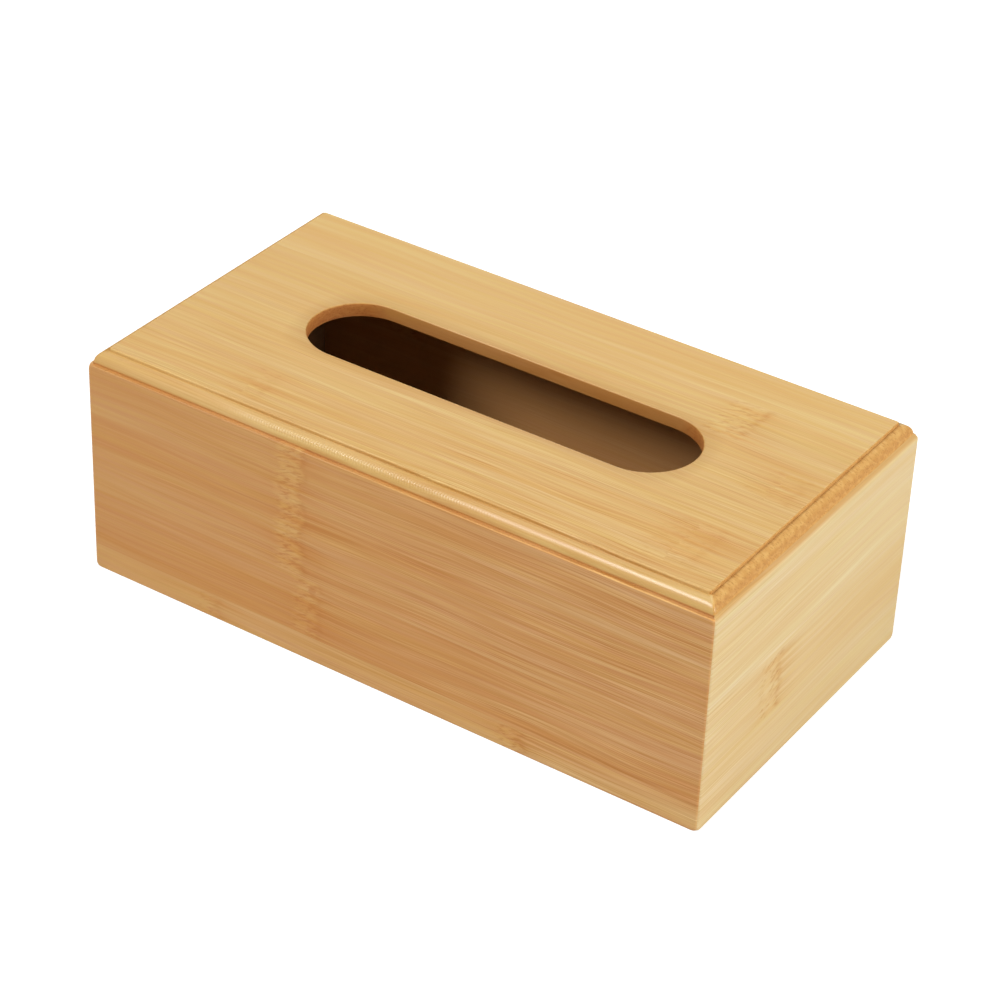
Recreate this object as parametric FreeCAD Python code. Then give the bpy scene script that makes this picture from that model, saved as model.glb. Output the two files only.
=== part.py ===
import FreeCAD
import Part

import math
import os

# A bamboo tissue box cover: a moulded top plate with a long rounded slot, glued on four
# mitred walls, and a base panel that slides out of the left end on grooves in the walls.
# Millimetres, +X along the box, -Y to its front, +Z up. The origin is the middle of the
# footprint, on the surface that the box stands on.

# Overall size and boards
LENGTH = 255.0
WIDTH = 136.5
HEIGHT = 91.2
WALL_THICKNESS = 7.0
TOP_THICKNESS = 5.2

# Slot that the tissues are drawn through
SLOT_LENGTH = 157.0
SLOT_WIDTH = 39.0

# Moulded edge: a square step, a quarter round down to the underside of the plate,
# then a shallow rebate in the walls that leaves a narrow ledge
STEP_HEIGHT = 1.2
LEDGE_WIDTH = 1.5
LEDGE_DROP = 0.7

# Sanded edges
TOP_ARRIS = 0.35
WALL_ARRIS = 0.5
SLOT_ARRIS = 0.5
CORNER_ROUND = 1.2
BASE_ARRIS = 0.4

# Sliding base: panel, grooves and the pull rail that closes the left end below its wall
BASE_THICKNESS = 3.0
GROOVE_RISE = 4.0
GROOVE_DEPTH = 3.0
RAIL_LIP = 3.0
RAIL_LIFT = 0.3
RUN_GAP = 0.2

# Loose splines glued into the mitres
SPLINE_THICKNESS = 2.0
SPLINE_WIDTH = 5.0
SPLINE_INSET = 3.0
SPLINE_SHOULDER = 5.0
GLUE_GAP = 0.05

# Levels and insets that follow from these sizes
SEAT = HEIGHT - TOP_THICKNESS
BEAD_RADIUS = TOP_THICKNESS - STEP_HEIGHT
TOP_INSET = LEDGE_WIDTH + BEAD_RADIUS
LEDGE_LEVEL = SEAT - LEDGE_DROP
BASE_UNDERSIDE = GROOVE_RISE + RUN_GAP
BASE_TOP = BASE_UNDERSIDE + BASE_THICKNESS
GROOVE_TOP = BASE_TOP + RUN_GAP
SPLINE_FOOT = GROOVE_TOP + SPLINE_SHOULDER

# The sides in turn round the box, and the corners between them, which the mitres cut in half
SIDES = ("front", "right", "back", "left")
CORNERS = ("front_left", "front_right", "back_left", "back_right")
QUARTER_TURN = 360 / len(SIDES)
MITRE_DEGREES = QUARTER_TURN / 2
MITRE_COSINE = math.cos(math.radians(MITRE_DEGREES))

UP = FreeCAD.Vector(0, 0, 1)
ORIGIN = FreeCAD.Vector(0, 0, 0)


class Outline:
    """A closed outline of lines and arcs, drawn point by point in one plane."""

    def __init__(self, place, a, b):
        """place turns the plane's two coordinates into a point in space."""
        self.place = place
        self.here = (a, b)
        self.edges = []

    def line(self, a, b):
        """Draw a straight edge to (a, b)."""
        self.edges.append(Part.makeLine(self.place(*self.here), self.place(a, b)))
        self.here = (a, b)

    def arc(self, centre, a, b):
        """Draw the shorter arc about centre to (a, b)."""
        ca, cb = centre
        radius = math.hypot(a - ca, b - cb)
        middle_a = self.here[0] + a - 2 * ca
        middle_b = self.here[1] + b - 2 * cb
        scale = radius / math.hypot(middle_a, middle_b)
        middle = self.place(ca + middle_a * scale, cb + middle_b * scale)
        arc = Part.Arc(self.place(*self.here), middle, self.place(a, b))
        self.edges.append(arc.toShape())
        self.here = (a, b)

    def extruded(self, direction):
        """Carry the face of the outline, drawn back to its start, along direction."""
        return Part.Face(Part.Wire(self.edges)).extrude(direction)


def turned(shape, degrees):
    """Return the shape turned about the vertical through the origin."""
    shape.rotate(ORIGIN, UP, degrees)
    return shape


def turned_to(side, shape):
    """Return a shape made at the front, turned to its own side of the box."""
    return turned(shape, QUARTER_TURN * SIDES.index(side))


def corner_signs(corner):
    """Return which way along X and along Y a corner lies from the middle of the box."""
    return (1 if "right" in corner else -1), (1 if "back" in corner else -1)


def plate_bar(length, width):
    """Return a bar along X with the moulded section of the top plate on both long sides."""
    half = width / 2
    foot = half - LEDGE_WIDTH
    crown = half - TOP_INSET
    section = Outline(lambda y, z: FreeCAD.Vector(-length / 2, y, z), -foot, SEAT)
    section.line(foot, SEAT)
    section.arc((crown, SEAT), crown, SEAT + BEAD_RADIUS)
    section.line(crown, HEIGHT - TOP_ARRIS)
    section.arc((crown - TOP_ARRIS, HEIGHT - TOP_ARRIS), crown - TOP_ARRIS, HEIGHT)
    section.line(TOP_ARRIS - crown, HEIGHT)
    section.arc((TOP_ARRIS - crown, HEIGHT - TOP_ARRIS), -crown, HEIGHT - TOP_ARRIS)
    section.line(-crown, SEAT + BEAD_RADIUS)
    section.arc((-crown, SEAT), -foot, SEAT)
    return section.extruded(FreeCAD.Vector(length, 0, 0))


def slot_cutter():
    """Return an upright bar with the slot's round-ended outline, right through the plate."""
    reach = SLOT_LENGTH / 2
    round_end = SLOT_WIDTH / 2
    straight = reach - round_end
    outline = Outline(lambda x, y: FreeCAD.Vector(x, y, SEAT), -straight, -round_end)
    outline.line(straight, -round_end)
    outline.arc((straight, 0), reach, 0)
    outline.arc((straight, 0), straight, round_end)
    outline.line(-straight, round_end)
    outline.arc((-straight, 0), -reach, 0)
    outline.arc((-straight, 0), -straight, -round_end)
    return outline.extruded(FreeCAD.Vector(0, 0, TOP_THICKNESS))


def slot_rim(plate, cutter):
    """Return the edges of a plate that run round the slot in its top face."""
    around = cutter.BoundBox
    around.enlarge(SLOT_ARRIS)
    inside = [edge for edge in plate.Edges if around.isInside(edge.BoundBox)]
    return [edge for edge in inside if edge.BoundBox.ZMin > HEIGHT - TOP_THICKNESS / 2]


def top_plate():
    """Return the plate: two moulded bars crossed, so that the moulding mitres, less the slot."""
    along = plate_bar(LENGTH, WIDTH)
    across = turned_to("right", plate_bar(WIDTH, LENGTH))
    cutter = slot_cutter()
    plate = along.common(across).cut(cutter)
    return plate.makeFillet(SLOT_ARRIS, slot_rim(plate, cutter))


def wall_plan(run, reach, foot, top):
    """Return an upright bar with the outline, seen from above, of a wall mitred at both ends.

    The wall lies at the front: run is its length outside, and reach how far its face
    stands from the middle of the box.
    """
    end = run / 2
    inner = end - WALL_THICKNESS
    face = -reach
    back = WALL_THICKNESS - reach
    flat = end - CORNER_ROUND
    nose = CORNER_ROUND * (1 - MITRE_COSINE)
    outline = Outline(lambda x, y: FreeCAD.Vector(x, y, foot), -flat, face)
    outline.line(flat, face)
    outline.arc((flat, face + CORNER_ROUND), end - nose, face + nose)
    outline.line(inner, back)
    outline.line(-inner, back)
    outline.line(nose - end, face + nose)
    outline.arc((-flat, face + CORNER_ROUND), -flat, face)
    return outline.extruded(FreeCAD.Vector(0, 0, top - foot))


def wall_bar(run, reach, foot, grooved):
    """Return a bar along X with a wall's section: sanded foot, ledge at the top, base groove."""
    face = -reach
    back = WALL_THICKNESS - reach
    section = Outline(lambda y, z: FreeCAD.Vector(-run / 2, y, z), face + WALL_ARRIS, foot)
    section.line(back, foot)
    if grooved:
        section.line(back, GROOVE_RISE)
        section.line(back - GROOVE_DEPTH, GROOVE_RISE)
        section.line(back - GROOVE_DEPTH, GROOVE_TOP)
        section.line(back, GROOVE_TOP)
    section.line(back, SEAT)
    section.line(face + LEDGE_WIDTH, SEAT)
    section.line(face + LEDGE_WIDTH, LEDGE_LEVEL)
    section.line(face + WALL_ARRIS, LEDGE_LEVEL)
    section.arc((face + WALL_ARRIS, LEDGE_LEVEL - WALL_ARRIS), face, LEDGE_LEVEL - WALL_ARRIS)
    section.line(face, foot + WALL_ARRIS)
    section.arc((face + WALL_ARRIS, foot + WALL_ARRIS), face + WALL_ARRIS, foot)
    return section.extruded(FreeCAD.Vector(run, 0, 0))


def spline(corner, gap):
    """Return the loose spline of one corner, or with a gap the kerf that it is glued into."""
    side_x, side_y = corner_signs(corner)
    thickness = SPLINE_THICKNESS + 2 * gap
    width = SPLINE_WIDTH + 2 * gap
    bar = Part.makeBox(thickness, width, SEAT - SPLINE_FOOT)
    bar.translate(FreeCAD.Vector(-thickness / 2, -width / 2, SPLINE_FOOT))
    turned(bar, MITRE_DEGREES * side_x * side_y)
    out = SPLINE_INSET * MITRE_COSINE
    x = side_x * (LENGTH / 2 - WALL_THICKNESS + out)
    y = side_y * (WIDTH / 2 - WALL_THICKNESS + out)
    bar.translate(FreeCAD.Vector(x, y, 0))
    return bar


def wall(side):
    """Return one wall, cut for the splines at its two mitres.

    The left wall stops above the base, which slides out below it, and has no groove.
    """
    long_side = side in ("front", "back")
    run = LENGTH if long_side else WIDTH
    reach = WIDTH / 2 if long_side else LENGTH / 2
    grooved = side != "left"
    foot = 0.0 if grooved else GROOVE_TOP
    board = wall_bar(run, reach, foot, grooved).common(wall_plan(run, reach, foot, SEAT))
    board = turned_to(side, board)
    for corner in CORNERS:
        if side in corner.split("_"):
            board = board.cut(spline(corner, GLUE_GAP))
    return board


def base_panel():
    """Return the panel that the tissues lie on, with its edges eased to run in the grooves."""
    left = RAIL_LIP - LENGTH / 2
    right = LENGTH / 2 - WALL_THICKNESS + GROOVE_DEPTH - RUN_GAP
    half = WIDTH / 2 - WALL_THICKNESS + GROOVE_DEPTH - RUN_GAP
    panel = Part.makeBox(right - left, 2 * half, BASE_THICKNESS)
    panel.translate(FreeCAD.Vector(left, -half, BASE_UNDERSIDE))
    running = [edge for edge in panel.Edges if edge.BoundBox.XLength > BASE_THICKNESS]
    return panel.makeChamfer(BASE_ARRIS, running)


def pull_rail():
    """Return the rail glued under the panel's left end, which draws the base out.

    It continues the left wall down to the foot of the box, with the same mitred ends.
    """
    run = WIDTH - 2 * RUN_GAP / MITRE_COSINE
    face = -LENGTH / 2
    back = face + WALL_THICKNESS
    section = Outline(lambda y, z: FreeCAD.Vector(-run / 2, y, z), face + WALL_ARRIS, RAIL_LIFT)
    section.line(back, RAIL_LIFT)
    section.line(back, BASE_UNDERSIDE)
    section.line(face + RAIL_LIP, BASE_UNDERSIDE)
    section.line(face + RAIL_LIP, BASE_TOP)
    section.line(face + WALL_ARRIS, BASE_TOP)
    section.arc((face + WALL_ARRIS, BASE_TOP - WALL_ARRIS), face, BASE_TOP - WALL_ARRIS)
    section.line(face, RAIL_LIFT + WALL_ARRIS)
    section.arc((face + WALL_ARRIS, RAIL_LIFT + WALL_ARRIS), face + WALL_ARRIS, RAIL_LIFT)
    bar = section.extruded(FreeCAD.Vector(run, 0, 0))
    rail = bar.common(wall_plan(run, LENGTH / 2, RAIL_LIFT, BASE_TOP))
    return turned_to("left", rail)


def pieces():
    """Return every piece of the box by its name."""
    made = {"top_plate": top_plate()}
    for side in SIDES:
        made[f"{side}_wall"] = wall(side)
    for corner in CORNERS:
        made[f"{corner}_spline"] = spline(corner, 0.0)
    made["base_panel"] = base_panel()
    made["pull_rail"] = pull_rail()
    return made


os.makedirs("parts", exist_ok=True)
for name, shape in pieces().items():
    shape.exportStep(f"parts/{name}.step")
    print(name, "solids", len(shape.Solids), "valid", shape.isValid(), "volume", round(shape.Volume, 1))
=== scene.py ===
import logging
import math
from dataclasses import dataclass, field
from enum import Enum
from typing import Any, Union

import bmesh
import bpy
import numpy as np
from mathutils import Matrix, Vector


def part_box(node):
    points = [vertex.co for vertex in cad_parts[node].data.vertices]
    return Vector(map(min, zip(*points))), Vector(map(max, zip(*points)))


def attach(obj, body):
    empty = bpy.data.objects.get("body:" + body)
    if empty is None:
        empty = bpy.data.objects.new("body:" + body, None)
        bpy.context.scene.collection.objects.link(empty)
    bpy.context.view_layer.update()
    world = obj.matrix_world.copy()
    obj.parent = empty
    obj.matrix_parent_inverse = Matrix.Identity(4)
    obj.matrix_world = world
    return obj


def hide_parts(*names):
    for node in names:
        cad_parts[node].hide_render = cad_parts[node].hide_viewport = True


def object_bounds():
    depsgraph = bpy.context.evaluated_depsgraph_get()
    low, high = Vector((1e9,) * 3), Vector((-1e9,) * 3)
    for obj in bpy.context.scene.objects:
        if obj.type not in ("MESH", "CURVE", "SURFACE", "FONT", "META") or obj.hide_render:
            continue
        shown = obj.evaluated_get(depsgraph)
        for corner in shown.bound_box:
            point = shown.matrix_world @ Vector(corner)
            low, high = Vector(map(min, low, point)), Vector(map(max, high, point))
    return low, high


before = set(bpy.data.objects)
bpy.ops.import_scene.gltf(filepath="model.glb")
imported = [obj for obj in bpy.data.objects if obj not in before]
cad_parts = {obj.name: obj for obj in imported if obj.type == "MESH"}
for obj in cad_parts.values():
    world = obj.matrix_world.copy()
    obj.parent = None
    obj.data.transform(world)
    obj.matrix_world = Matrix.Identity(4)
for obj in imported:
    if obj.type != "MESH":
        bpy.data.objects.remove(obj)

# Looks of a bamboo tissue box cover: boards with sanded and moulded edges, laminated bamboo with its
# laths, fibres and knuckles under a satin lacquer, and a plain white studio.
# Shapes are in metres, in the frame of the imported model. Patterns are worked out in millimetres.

MM = 0.001
CAD_BOX = [list(corner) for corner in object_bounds()]

# How far from a rounded edge a flat face has its next row of points, so that the edge shades cleanly
GUARD = 0.3 * MM
# Rows of points near the edges that are sanded off at the corners
BLUNT_ROWS = (GUARD, 0.9 * MM, 1.6 * MM, 2.4 * MM)
# Slack for telling rows of points apart by their place
NEAR = 0.01 * MM

log = logging.getLogger("tissue_box")

Number = Union[float, "Value"]
Pair = tuple[float, float]
Colour = tuple[float, float, float]

WHITE: Colour = (1.0, 1.0, 1.0)


def linear(red: int, green: int, blue: int) -> Colour:
    """Turn a display colour of 0 to 255 into the linear values that a shader takes.

    Args:
        red: red as shown on a screen.
        green: green as shown on a screen.
        blue: blue as shown on a screen.

    Returns:
        The three linear values, 0 to 1.
    """
    shown = np.array([red, green, blue]) / 255
    values = np.where(shown <= 0.04045, shown / 12.92, ((shown + 0.055) / 1.055) ** 2.4)
    return tuple(float(value) for value in values)


# Sizes

@dataclass(frozen=True)
class BoxSizes:
    """Sizes of the box in metres: the boards as the frame gives them, the edges as named here.

    Attributes:
        length: length over the walls.
        width: width over the walls.
        height: height of the box.
        wall: thickness of the walls.
        seat: height of the plate's underside.
        ledge_width: how far the plate stands in from the faces of the walls.
        groove_top: upper edge of the grooves, where the left wall ends.
        step_height: height of the square step above the bead.
        ledge_drop: how far the ledge of the walls lies below the plate.
        slot_length: length of the slot over its round ends.
        slot_width: width of the slot.
        top_arris: rounding of the top face's outer edge.
        wall_arris: rounding of the lower edges of the walls and of the rail.
        ledge_arris: rounding of the ledge's outer edge.
        slope_height: height of the slope that the right wall has in place of a ledge.
        slot_arris: rounding of the slot's upper edge.
        corner_round: rounding of the upright corners.
        mitre_round: rounding of the moulding's corners.
        corner_blunt: how far along its edges an outer corner of the walls is sanded off.
        groove_depth: depth of the grooves.
        groove_rise: lower edge of the grooves.
        rail_lip: thickness of the rail in front of the panel's edge.
        base_arris: easing of the panel's edges.
    """

    length: float
    width: float
    height: float
    wall: float
    seat: float
    ledge_width: float
    groove_top: float
    step_height: float = 1.2 * MM
    ledge_drop: float = 0.7 * MM
    slot_length: float = 157 * MM
    slot_width: float = 39 * MM
    top_arris: float = 0.35 * MM
    wall_arris: float = 0.5 * MM
    ledge_arris: float = 0.4 * MM
    slope_height: float = 2.4 * MM
    slot_arris: float = 0.5 * MM
    corner_round: float = 1.2 * MM
    mitre_round: float = 0.7 * MM
    corner_blunt: float = 1.8 * MM
    groove_depth: float = 3.0 * MM
    groove_rise: float = 4.0 * MM
    rail_lip: float = 3.0 * MM
    base_arris: float = 0.4 * MM

    @classmethod
    def from_frame(cls) -> "BoxSizes":
        """Read the boards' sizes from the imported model.

        Returns:
            The sizes.
        """
        low, high = (Vector(corner) for corner in CAD_BOX)
        plate_low, plate_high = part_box("top_plate")
        front_low, front_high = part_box("front_wall")
        left_low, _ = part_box("left_wall")
        return cls(
            length=high.x - low.x,
            width=high.y - low.y,
            height=high.z - low.z,
            wall=front_high.y - front_low.y,
            seat=plate_low.z,
            ledge_width=(high.y - low.y - plate_high.y + plate_low.y) / 2,
            groove_top=left_low.z,
        )

    @property
    def bead_radius(self) -> float:
        """Radius of the quarter round between the step and the underside of the plate."""
        return self.height - self.seat - self.step_height

    @property
    def top_inset(self) -> float:
        """How far the edge of the top face stands in from the face of the walls."""
        return self.ledge_width + self.bead_radius


# Mesh surfaces

def straight(start: Pair, end: Pair, guards: tuple[float, ...] = (GUARD,)) -> np.ndarray:
    """Points of a straight stretch, with some close to each end so that rounded edges shade cleanly.

    Args:
        start: first point, which is included.
        end: last point, which the next stretch adds.
        guards: distances of the inner points from the ends.

    Returns:
        The points as rows of two coordinates: start + (end - start) times each share of the way.
    """
    first, last = np.array(start), np.array(end)
    length = float(np.hypot(*(last - first)))
    near = np.array(guards) / max(length, 3 * max(guards))
    share = np.concatenate([[0.0], near, 1 - near[::-1]])
    return first + share[:, None] * (last - first)


def stretches(*corners: Pair) -> np.ndarray:
    """Straight stretches from corner to corner, without the last corner, which the next stretch adds."""
    return np.concatenate([straight(start, end) for start, end in zip(corners, corners[1:])])


def arc(centre: Pair, radius: float, start: float, end: float, steps: int = 6) -> np.ndarray:
    """Points of a circular arc: centre + radius (cos a, sin a), with a running from start to end.

    Args:
        centre: centre of the circle.
        radius: its radius.
        start: first angle in degrees, which is included.
        end: last angle in degrees, which the next stretch adds.
        steps: number of chords.

    Returns:
        The points as rows of two coordinates.
    """
    angle = np.radians(np.linspace(start, end, steps, endpoint=False))
    return np.array(centre) + radius * np.column_stack([np.cos(angle), np.sin(angle)])


def corner_nose(radius: float) -> float:
    """How far the middle of a rounded corner stands in from each of its faces, r - r sin 45."""
    return radius * (1 - math.sqrt(0.5))


def quarter_turned(turns: Union[int, np.ndarray], x: np.ndarray, y: np.ndarray) -> np.ndarray:
    """Turn points about the upright through the middle: (c x - s y, s x + c y).

    Args:
        turns: number of quarter turns, one for all the points or one for each.
        x: places to the right.
        y: places to the back.

    Returns:
        The turned points, with their two coordinates last.
    """
    cosine = np.array([1, 0, -1, 0])[turns]
    sine = np.array([0, 1, 0, -1])[turns]
    return np.stack([cosine * x - sine * y, sine * x + cosine * y], axis=-1)


@dataclass
class Surface:
    """A closed section carried along a path: a grid of points whose rows run round the section.

    Attributes:
        points: rows by columns by three coordinates.
        ring: True if the path closes on itself, False if its two ends are capped.
        marks: named values for each row, or each point, which materials read.
    """

    points: np.ndarray
    ring: bool
    marks: dict[str, np.ndarray] = field(default_factory=dict)

    def faces(self) -> list[list[int]]:
        """Join neighbouring rows and columns by four-sided faces, and cap the open ends.

        Returns:
            The numbers of each face's points.
        """
        rows, columns = self.points.shape[:2]
        index = np.arange(rows * columns).reshape(rows, columns)
        below = np.roll(index, -1, axis=0)
        last = columns if self.ring else columns - 1
        right = np.roll(index, -1, axis=1)[:, :last]
        below_right = np.roll(below, -1, axis=1)[:, :last]
        quads = np.stack([index[:, :last], right, below_right, below[:, :last]], axis=-1)
        caps = [] if self.ring else [index[::-1, 0].tolist(), index[:, -1].tolist()]
        return quads.reshape(-1, 4).tolist() + caps

    def to_object(self, name: str, sharp_degrees: float = 34.0) -> bpy.types.Object:
        """Make the mesh object, smooth but for edges that turn by more than an angle.

        Args:
            name: name of the object.
            sharp_degrees: turn past which an edge stays sharp.

        Returns:
            The new object, linked to the scene.
        """
        mesh = bpy.data.meshes.new(name)
        mesh.from_pydata(self.points.reshape(-1, 3), [], self.faces())
        shell = bmesh.new()
        shell.from_mesh(mesh)
        bmesh.ops.recalc_face_normals(shell, faces=shell.faces)
        shell.to_mesh(mesh)
        shell.free()
        mesh.shade_smooth()
        mesh.set_sharp_from_angle(angle=math.radians(sharp_degrees))
        for mark, values in self.marks.items():
            attribute = mesh.attributes.new(mark, "FLOAT", "POINT")
            spread = np.broadcast_to(values.reshape(len(values), -1), self.points.shape[:2])
            attribute.data.foreach_set("value", spread.astype(np.float32).ravel())
        piece = bpy.data.objects.new(name, mesh)
        bpy.context.scene.collection.objects.link(piece)
        return piece


class Side(Enum):
    """A side of the box, as its number of quarter turns from the front."""

    FRONT = 0
    RIGHT = 1
    BACK = 2
    LEFT = 3

    def turn(self, points: np.ndarray) -> np.ndarray:
        """Turn points made at the front to this side, about the upright through the middle."""
        level = quarter_turned(self.value, points[..., 0], points[..., 1])
        return np.concatenate([level, points[..., 2:]], axis=-1)


@dataclass
class MitredBoard:
    """A board of the wall ring: a section carried along its side, mitred at both ends.

    Attributes:
        side: side of the box that the board closes.
        run: length of the board along its outer face.
        reach: distance of its outer face from the middle of the box.
        section: points round the section, as depth from the outer face and height.
        corner_round: radius of the upright outer edges.
        blunt: how far along their edges the outer corners are sanded off, at the foot and at the top.
        marks: named values for each point of the section, which materials read.
        round_columns: number of stations on the rounding at each end.
        end_columns: distances of the next stations from each end.
        middle_columns: number of stations between them.
        blunt_soft: width over which a sanded corner runs out.
    """

    side: Side
    run: float
    reach: float
    section: np.ndarray
    corner_round: float
    blunt: Pair
    marks: dict[str, np.ndarray] = field(default_factory=dict)
    round_columns: int = 6
    end_columns: tuple[float, ...] = (1.2 * MM, 1.8 * MM, 2.4 * MM, 3.0 * MM)
    middle_columns: int = 48
    blunt_soft: float = 0.35 * MM

    def surface(self) -> Surface:
        """Carry the section along the side.

        A point at depth t ends at half the run less t, which is the mitre. Near the ends the
        outer face follows the rounded corner: depth is at least r - sqrt(r^2 - s^2), where s is
        how far the point stands past the start of the rounding.

        Returns:
            The board's surface, at its place.
        """
        depth, height = self.section[:, :1], self.section[:, 1:]
        radius = self.corner_round
        end = self.run / 2 - np.maximum(depth, corner_nose(radius))
        turn = np.radians(np.linspace(45, 0, self.round_columns))
        near = np.concatenate([radius * (math.sqrt(0.5) - np.sin(turn)), self.end_columns])
        inner = end - near[-1]
        middle = np.linspace(-1, 1, self.middle_columns + 2)[1:-1] * inner
        along = np.concatenate([near - end, middle, (end - near)[:, ::-1]], axis=1)
        past = np.clip(np.abs(along) - (self.run / 2 - radius), 0, radius)
        rounded = np.maximum(depth, radius - np.sqrt(radius**2 - past**2))
        upright = np.broadcast_to(height, along.shape)
        points = self.blunted(along, rounded, upright)
        return Surface(self.side.turn(points), ring=False, marks=self.marks)

    def blunted(self, along: np.ndarray, depth: np.ndarray, height: np.ndarray) -> np.ndarray:
        """Sand the outer corners off, and place the board at its reach.

        A corner is cut by the plane on which the distances to its three faces sum to a length k.
        A point whose distances sum to s moves away from each face by w ln(1 + exp((k - s) / w)) / 3,
        which is (k - s) / 3 inside the cut and dies out over the width w outside it.

        Args:
            along: places of the points along the board.
            depth: their depths from the outer face.
            height: their heights.

        Returns:
            The moved points of a board at the front, with their three coordinates last.
        """
        soft = self.blunt_soft
        end_gap = self.run / 2 - np.abs(along)
        outer = self.section[:, 0] < self.corner_round
        low, high = self.section[:, 1].min(), self.section[outer, 1].max()
        gaps = (height - low, np.clip(high - height, 0, None))
        moves = []
        for length, gap in zip(self.blunt, gaps):
            over = (length - end_gap - depth - gap) / soft
            moves.append(soft * np.logaddexp(0, over) / 3 if length else np.zeros_like(over))
        inward = moves[0] + moves[1]
        along = along - np.sign(along) * inward
        return np.stack([along, depth + inward - self.reach, height + moves[0] - moves[1]], axis=-1)


# Shader arithmetic

class Value:
    """A shader socket that takes Python's arithmetic: each operation adds one Math node."""

    def __init__(self, graph: "Graph", socket: bpy.types.NodeSocket) -> None:
        """Wrap a socket of a graph."""
        self.graph = graph
        self.socket = socket

    def __add__(self, other: Number) -> "Value":
        """Sum of two values."""
        return self.graph.math("ADD", self, other)

    def __sub__(self, other: Number) -> "Value":
        """Difference of two values."""
        return self.graph.math("SUBTRACT", self, other)

    def __rsub__(self, other: float) -> "Value":
        """A number less this value."""
        return self.graph.math("SUBTRACT", other, self)

    def __mul__(self, other: Number) -> "Value":
        """Product of two values."""
        return self.graph.math("MULTIPLY", self, other)

    def __truediv__(self, other: Number) -> "Value":
        """Quotient of two values."""
        return self.graph.math("DIVIDE", self, other)

    def __rtruediv__(self, other: float) -> "Value":
        """A number divided by this value."""
        return self.graph.math("DIVIDE", other, self)

    def __neg__(self) -> "Value":
        """This value with its sign changed."""
        return self * -1.0

    __radd__ = __add__
    __rmul__ = __mul__

    def size(self) -> "Value":
        """Value without its sign."""
        return self.graph.math("ABSOLUTE", self)

    def above(self, edge: float) -> "Value":
        """1 where the value is over an edge, and 0 elsewhere."""
        return self.graph.math("GREATER_THAN", self, edge)

    def sine(self) -> "Value":
        """Sine of the value in radians."""
        return self.graph.math("SINE", self)

    def rise(self, low: float, high: float) -> "Value":
        """Smooth step from 0 to 1, which falls where low is the larger.

        Args:
            low: value at which it is 0.
            high: value at which it is 1.

        Returns:
            The step.
        """
        if low > high:
            return 1.0 - self.rise(high, low)
        settings = {"interpolation_type": "SMOOTHSTEP"}
        inputs = {"Value": self, "From Min": low, "From Max": high}
        return self.graph.value("ShaderNodeMapRange", settings, inputs, "Result")

    def bell(self, width: float) -> "Value":
        """Bell round zero, exp(-(value / width)^2)."""
        share = self / width
        return self.graph.math("POWER", math.e, -(share * share))


class Graph:
    """The node tree of one material, with one method that makes any node."""

    def __init__(self, tree: bpy.types.NodeTree) -> None:
        """Start from an empty tree."""
        self.tree = tree
        tree.nodes.clear()

    def node(self, kind: str, settings: dict[str, Any], inputs: dict[Any, Any]) -> bpy.types.Node:
        """Add a node.

        Args:
            kind: the node's type name.
            settings: properties, which are set first.
            inputs: values or links, by the socket's name or number.

        Returns:
            The new node.
        """
        made = self.tree.nodes.new(kind)
        for name, setting in settings.items():
            setattr(made, name, setting)
        for key, given in inputs.items():
            socket = made.inputs[key]
            source = given.socket if isinstance(given, Value) else given
            if isinstance(source, bpy.types.NodeSocket):
                self.tree.links.new(source, socket)
            elif isinstance(source, tuple) and len(source) == 3 and socket.type == "RGBA":
                socket.default_value = (*source, 1.0)
            else:
                socket.default_value = source
        return made

    def value(self, kind: str, settings: dict[str, Any], inputs: dict[Any, Any], output: Any) -> Value:
        """Add a node and return one of its outputs."""
        return Value(self, self.node(kind, settings, inputs).outputs[output])

    def math(self, operation: str, first: Number, second: Number = 0.0) -> Value:
        """Add a Math node."""
        return self.value("ShaderNodeMath", {"operation": operation}, {0: first, 1: second}, 0)

    def vector(self, x: Number, y: Number, z: Number) -> Value:
        """Join three values into a vector."""
        return self.value("ShaderNodeCombineXYZ", {}, {"X": x, "Y": y, "Z": z}, 0)

    def parts(self, vector: Value) -> dict[str, Value]:
        """Split a vector into its X, Y and Z."""
        made = self.node("ShaderNodeSeparateXYZ", {}, {0: vector})
        return {axis: Value(self, made.outputs[axis]) for axis in "XYZ"}

    def mix(self, share: Number, first: Any, second: Any, blend: str = "MIX") -> Value:
        """Mix two colours by a share of the second."""
        settings = {"data_type": "RGBA", "blend_type": blend}
        return self.value("ShaderNodeMix", settings, {0: share, 6: first, 7: second}, 2)

    def noise(self, at: Value, detail: float = 2.0) -> Value:
        """Noise about zero, within about -0.5 and 0.5."""
        inputs = {"Vector": at, "Scale": 1.0, "Detail": detail, "Roughness": 0.5}
        return self.value("ShaderNodeTexNoise", {}, inputs, 0) - 0.5

    def cells(self, at: Value) -> Value:
        """Distance to the nearest of a scatter of points, about one unit apart."""
        return self.value("ShaderNodeTexVoronoi", {}, {"Vector": at, "Scale": 1.0}, "Distance")


# Finishes

class Grain(Enum):
    """Axes of a board: along its fibres, across its laths, and through its thickness."""

    PLATE = "XYZ"
    LONG_WALL = "XZY"
    END_WALL = "YZX"


@dataclass(frozen=True)
class Lath:
    """One lath of a laminated board.

    Attributes:
        low: its lower edge across the board, in millimetres.
        tint: its colour against the board's own.
    """

    low: float
    tint: Colour


@dataclass(frozen=True)
class Knuckle:
    """A joint of the bamboo culm, which crosses a lath as a band of short wavy fibres.

    Attributes:
        along: its middle along the fibres, in millimetres.
        low: its lower end across the board, in millimetres.
        high: its upper end across the board, in millimetres.
        half: half its width along the fibres, in millimetres.
        pale: how plainly its pale dashes show, 0 to 1.
        rust: how plainly its rusty dashes and rim show, 0 to 1.
        blush: how plainly the wood about it reddens, 0 to 1.
    """

    along: float
    low: float
    high: float
    half: float
    pale: float
    rust: float
    blush: float


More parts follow.
